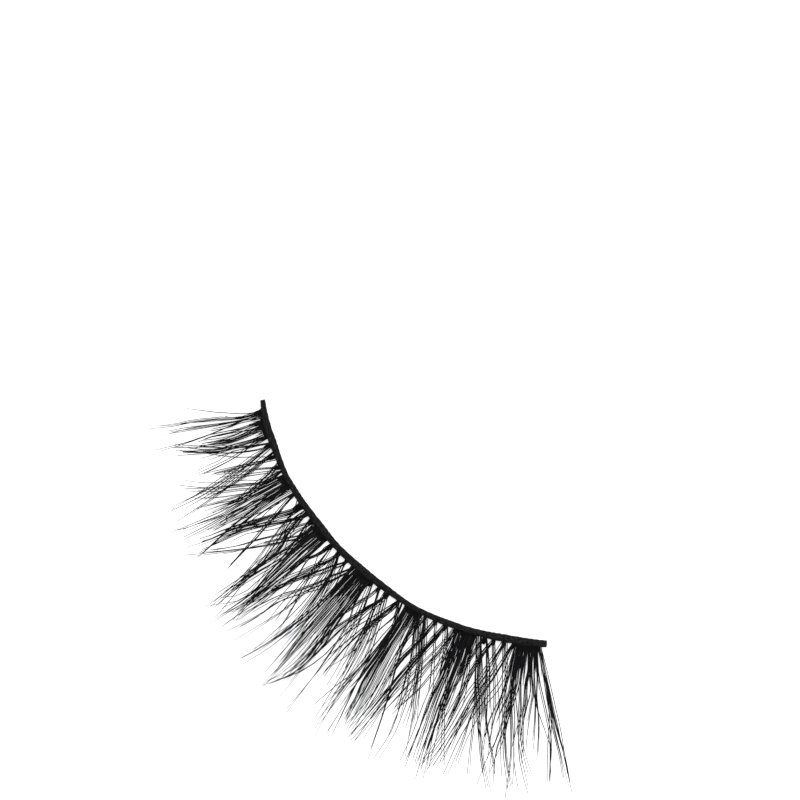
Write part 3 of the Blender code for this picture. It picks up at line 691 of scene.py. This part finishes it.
def joined_mesh(name, points, faces, material, **attributes):
    """An object at the origin from points, faces and numbers at the points. It is smooth."""
    mesh = bpy.data.meshes.new(name)
    mesh.from_pydata(points.reshape(-1, 3), [], faces)
    mesh.validate()
    for label, values in attributes.items():
        layer = mesh.attributes.new(label, "FLOAT", "POINT")
        layer.data.foreach_set("value", values.astype(np.float32))
    mesh.shade_smooth()
    mesh.materials.append(material)
    piece = bpy.data.objects.new(name, mesh)
    bpy.context.scene.collection.objects.link(piece)
    return piece


def add_fibres(node, layer, rows, more_lines, material):
    """The fibres that stand for one CAD node: its bundles, its tip strands and more lines."""
    own = [charted(row) for row in rows]
    bundles = [led_bundle(bundle, own) for bundle in own]
    bundles += [strand_bundle(*strand, own) for strand in TIP_STRANDS.get(node, ())]
    slant = TUFT_SLANT if layer == MIDDLE else LOCK_SLANT
    lines = [bundle_lines(bundle, slant) for bundle in bundles] + more_lines
    piece = fibre_mesh(f"{node}_fibres", layer, lines, material)
    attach(piece, "root")
    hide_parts(node)


# Materials

WHITE = (1.0, 1.0, 1.0, 1.0)
RELIEF_DEPTH = 0.00002  # metres
FIBRE_TONE_SHARE = 0.6  # of a fibre's own tone, which is added to its streaks
CORD_STRETCH = (60.0, 14.0, 1.0)  # of the grain, along the cord and round it
FLOOR_GLOW = 0.55


class Look:
    """A material whose tree holds its Principled shader, with short calls that add nodes."""

    def __init__(self, name, specular):
        self.material = bpy.data.materials.new(name)
        self.material.use_nodes = True
        self.nodes = self.material.node_tree.nodes
        self.shader = self.nodes["Principled BSDF"]
        self.set("Specular IOR Level", specular)

    def link(self, start, end):
        """Joins two sockets."""
        self.material.node_tree.links.new(start, end)

    def set(self, socket, value):
        """Gives a socket of the shader one value all over the surface."""
        self.shader.inputs[socket].default_value = value

    def object_place(self):
        """The place on the piece, in metres."""
        return self.nodes.new("ShaderNodeTexCoord").outputs["Object"]

    def attribute(self, name):
        """A number kept at the piece's points."""
        node = self.nodes.new("ShaderNodeAttribute")
        node.attribute_name = name
        return node.outputs["Fac"]

    def noise(self, place, scale, detail):
        """A noise read at a place."""
        node = self.nodes.new("ShaderNodeTexNoise")
        node.inputs["Scale"].default_value = scale
        node.inputs["Detail"].default_value = detail
        self.link(place, node.inputs["Vector"])
        return node.outputs["Fac"]

    def colour(self, source, low, high, start, end):
        """Colours the surface from low to high as the source goes from start to end."""
        node = self.nodes.new("ShaderNodeValToRGB")
        for element, position, shade in zip(node.color_ramp.elements, (start, end), (low, high)):
            element.position = position
            element.color = (*shade, 1.0)
        self.link(source, node.inputs["Fac"])
        self.link(node.outputs["Color"], self.shader.inputs["Base Color"])

    def roughness(self, source, low, high):
        """Makes the surface rougher, from low to high, as the source goes from 0 to 1."""
        node = self.nodes.new("ShaderNodeMapRange")
        node.inputs["To Min"].default_value = low
        node.inputs["To Max"].default_value = high
        self.link(source, node.inputs["Value"])
        self.link(node.outputs["Result"], self.shader.inputs["Roughness"])

    def bump(self, source, strength):
        """Gives the surface a fine relief."""
        node = self.nodes.new("ShaderNodeBump")
        node.inputs["Distance"].default_value = RELIEF_DEPTH
        node.inputs["Strength"].default_value = strength
        self.link(source, node.inputs["Height"])
        self.link(node.outputs["Normal"], self.shader.inputs["Normal"])


def lash_material():
    """Black synthetic fibre: nearly black with a faint violet cast, a tone that differs from
    fibre to fibre, fine streaks, and a soft sheen that is glossier at the root than at the tip."""
    look = Look("lash_fibre_look", specular=0.07)
    streak = look.noise(look.object_place(), scale=1800.0, detail=2.0)
    mix = look.nodes.new("ShaderNodeMath")
    mix.operation = "MULTIPLY_ADD"
    mix.inputs[1].default_value = FIBRE_TONE_SHARE
    look.link(look.attribute("tone"), mix.inputs[0])
    look.link(streak, mix.inputs[2])
    look.colour(mix.outputs["Value"], low=(0.0022, 0.0018, 0.0024), high=(0.0085, 0.0075, 0.0088),
                start=0.3, end=1.0)
    look.roughness(look.attribute("length_share"), low=0.34, high=0.5)
    return look.material


def glue_material():
    """Dried black glue: very dark, a little glossy, with a fine uneven skin."""
    look = Look("root_glue_look", specular=0.06)
    grain = look.noise(look.object_place(), scale=9000.0, detail=3.0)
    look.colour(grain, low=(0.0006, 0.0005, 0.0007), high=(0.005, 0.0045, 0.005), start=0.3, end=0.7)
    look.set("Roughness", 0.45)
    look.bump(grain, strength=0.5)
    return look.material


def cord_material():
    """Black cotton cord: fine threads along its length and round it, mottled dark grey."""
    look = Look("band_cord_look", specular=0.08)
    thread = look.nodes.new("ShaderNodeUVMap")
    thread.uv_map = "cord"
    stretch = look.nodes.new("ShaderNodeMapping")
    stretch.inputs["Scale"].default_value = CORD_STRETCH
    look.link(thread.outputs["UV"], stretch.inputs["Vector"])
    grain = look.noise(stretch.outputs["Vector"], scale=1.6, detail=4.0)
    look.colour(grain, low=(0.0004, 0.0003, 0.0005), high=(0.022, 0.020, 0.022), start=0.42, end=0.64)
    look.roughness(grain, low=0.42, high=0.62)
    look.bump(grain, strength=0.6)
    return look.material


def floor_material():
    """White paper with a very faint grain, which glows a little so that it stays white."""
    look = Look("floor_white", specular=0.0)
    grain = look.noise(look.object_place(), scale=900.0, detail=3.0)
    look.colour(grain, low=(0.93, 0.93, 0.93), high=(0.96, 0.96, 0.96), start=0.3, end=0.7)
    look.set("Roughness", 0.9)
    look.set("Emission Color", WHITE)
    look.set("Emission Strength", FLOOR_GLOW)
    return look.material


# The band: a cord whose two edges follow a chart, rounded square in section. The points of the
# edges are (out, along), in squares.

EYELID_EDGE = (
    (-0.9, -3.7), (-0.6, 0), (0.1, 10), (0.6, 25), (0.6, 40), (2.2, 60), (3.2, 75), (2.6, 90), (2.1, 105),
    (1.4, 122), (1.1, 137), (1.7, 150), (2.1, 165), (1.6, 178), (1.2, 200), (1.6, 218), (2.0, 230),
    (3.6, 250), (3.8, 268), (3.2, 282), (2.4, 300), (2.1, 318), (0.8, 340), (0.0, 356), (0.2, 375),
    (0.6, 396),
)
LASH_EDGE = (
    (4.2, -3.7), (4.6, 0), (5.6, 5), (7.8, 20), (8.2, 50), (8.8, 100), (8.4, 120), (8.4, 150), (8.8, 165),
    (8.8, 240), (9.2, 255), (9.3, 290), (8.8, 306), (8, 345), (7.6, 388), (7.4, 396),
)
BAND_STATIONS = 320
BAND_ROUND = 28
BAND_SQUARENESS = 0.62
THREADS = 7
THREAD_RELIEF = 0.016
THREAD_WIND = 0.035  # radians for each square along
COARSENESS = 0.012  # height of the cord's uneven bumps
COARSE_PITCH = 0.9  # radians for each square along
COARSE_SWING = 3.0  # radians by which the bumps wander
COARSE_SWING_PITCH = 0.13
COARSE_TURNS = 2.0  # bumps round the cord
END_ROUNDING = 0.10
END_SECTIONS = np.array([0.0, 0.15, 0.5, 1.0])  # places of the end's sections, as shares of it
END_CLOSING = 0.35  # share of the section that is lost at the end cap


def superellipse(wave):
    """A sine or cosine drawn out towards its extremes, as the power BAND_SQUARENESS of it."""
    return np.sign(wave) * np.abs(wave) ** BAND_SQUARENESS


def band_piece(material):
    """A profile carried along the band's arc. The profile is a superellipse between the charted
    edges, flat underneath, with THREADS low ridges that wind slowly round it and with uneven
    bumps from two sines. Towards each end the profile closes over END_ROUNDING like a rounded
    cut, down to a small flat cap."""
    near_end = END_SECTIONS * END_ROUNDING / SQUARE
    first, last = EYELID_EDGE[0][1], EYELID_EDGE[-1][1]
    middle = np.linspace(first + near_end[-1], last - near_end[-1], BAND_STATIONS)[1:-1]
    place = np.concatenate([first + near_end, middle, last - near_end[::-1]])
    inset = np.minimum(place - first, last - place) * SQUARE / END_ROUNDING
    lost = 1.0 - np.sqrt(1.0 - (1.0 - np.clip(inset, 0.0, 1.0)) ** 2)
    closing = (1.0 - END_CLOSING * lost)[:, None]
    angle = circle(BAND_ROUND)
    station = place[:, None]
    ridge = np.cos(THREADS * (angle - station * THREAD_WIND)) * THREAD_RELIEF
    wander = COARSE_SWING * np.sin(station * COARSE_SWING_PITCH)
    rough = COARSENESS * np.sin(station * COARSE_PITCH + wander + COARSE_TURNS * angle)
    swell = 1.0 + (ridge + rough) / (BAND_HEIGHT / 2.0)
    eyelid = smooth_through(EYELID_EDGE, place)[:, None]
    lash = smooth_through(LASH_EDGE, place)[:, None]
    half = (lash - eyelid) / 2.0 * closing
    out = (lash + eyelid) / 2.0 + half * superellipse(np.cos(angle)) * swell
    up = BAND_HEIGHT / 2.0 * (1.0 + superellipse(np.sin(angle)) * swell * closing)
    points = from_chart(station, out, np.maximum(up, 0.0))
    stations = len(place)
    piece = joined_mesh("band_cord", points, tube_faces(1, stations, BAND_ROUND), material)
    along_share = np.repeat((place - first) / (last - first), BAND_ROUND)
    round_share = np.tile(np.abs(np.arange(BAND_ROUND) / BAND_ROUND * 2.0 - 1.0), stations)
    mesh = piece.data
    corner = np.empty(len(mesh.loops), dtype=np.int32)
    mesh.loops.foreach_get("vertex_index", corner)
    flat = np.stack([along_share[corner], round_share[corner]], axis=1)
    mesh.uv_layers.new(name="cord").data.foreach_set("uv", flat.astype(np.float32).ravel())
    return piece


# Stage. The camera's place, lens and sensor are in millimetres and the rest is in metres.

CAMERA_PLACE = (-6.84, 12.70, 555.6)
CAMERA_LENS = 300.0
CAMERA_SENSOR = 36.0
CAMERA_CLIP = (0.01, 10.0)
CAMERA_UP = (-0.6464, 0.7630)  # direction on the floor that is up in the picture
FLOOR_SIZE = 3.0
SKY_STRENGTH = 0.75
LIGHT_PLACE = (-0.15, 0.25, 0.7)
LIGHT_SIZE = 0.5
LIGHT_WATTS = 2.2


def look_down():
    """The camera: straight down on the floor, turned so that the strip lies aslant as seen."""
    data = bpy.data.cameras.new("camera")
    data.lens = CAMERA_LENS
    data.sensor_width = CAMERA_SENSOR
    data.clip_start, data.clip_end = CAMERA_CLIP
    camera = bpy.data.objects.new("camera", data)
    camera.location = [place * MM for place in CAMERA_PLACE]
    camera.rotation_euler = (0.0, 0.0, math.atan2(-CAMERA_UP[0], CAMERA_UP[1]))
    bpy.context.scene.collection.objects.link(camera)
    bpy.context.scene.camera = camera


def studio(material):
    """A pale floor, an even white sky and one broad soft light above, turned to the origin."""
    bpy.ops.mesh.primitive_plane_add(size=FLOOR_SIZE, location=(0.0, 0.0, 0.0))
    floor = bpy.context.object
    floor.name = "floor"
    floor.data.materials.append(material)
    world = bpy.data.worlds.new("studio")
    world.use_nodes = True
    sky = world.node_tree.nodes["Background"]
    sky.inputs["Color"].default_value = WHITE
    sky.inputs["Strength"].default_value = SKY_STRENGTH
    bpy.context.scene.world = world
    light = bpy.data.lights.new("soft_light", "AREA")
    light.shape = "DISK"
    light.size = LIGHT_SIZE
    light.energy = LIGHT_WATTS
    lamp = bpy.data.objects.new("soft_light", light)
    across, back, up = LIGHT_PLACE
    lamp.location = LIGHT_PLACE
    lamp.rotation_euler = (-math.atan2(back, up), math.atan2(across, up), 0.0)
    bpy.context.scene.collection.objects.link(lamp)
    bpy.context.scene.view_settings.view_transform = "Standard"


def main():
    """Builds the camera, the band, the glue and one piece of fibres for each tuft or group of
    locks, and then the stage."""
    look_down()
    fibre = lash_material()
    cord = cord_material()
    band = band_piece(cord)
    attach(band, "root")
    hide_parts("band")
    glue = glue_piece(glue_material())
    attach(glue, "root")
    for number, (rows, filler) in enumerate(zip(TUFTS, TUFT_FILL), 1):
        add_fibres(f"tuft_{number}", MIDDLE, rows, [fill_lines(*filler)], fibre)
    for number, rows in enumerate(INWARD_LOCKS, 1):
        add_fibres(f"inward_locks_{number}", LOWER, rows, [], fibre)
    for number, rows in enumerate(OUTWARD_LOCKS, 1):
        add_fibres(f"outward_locks_{number}", UPPER, rows, [], fibre)
    studio(floor_material())


main()
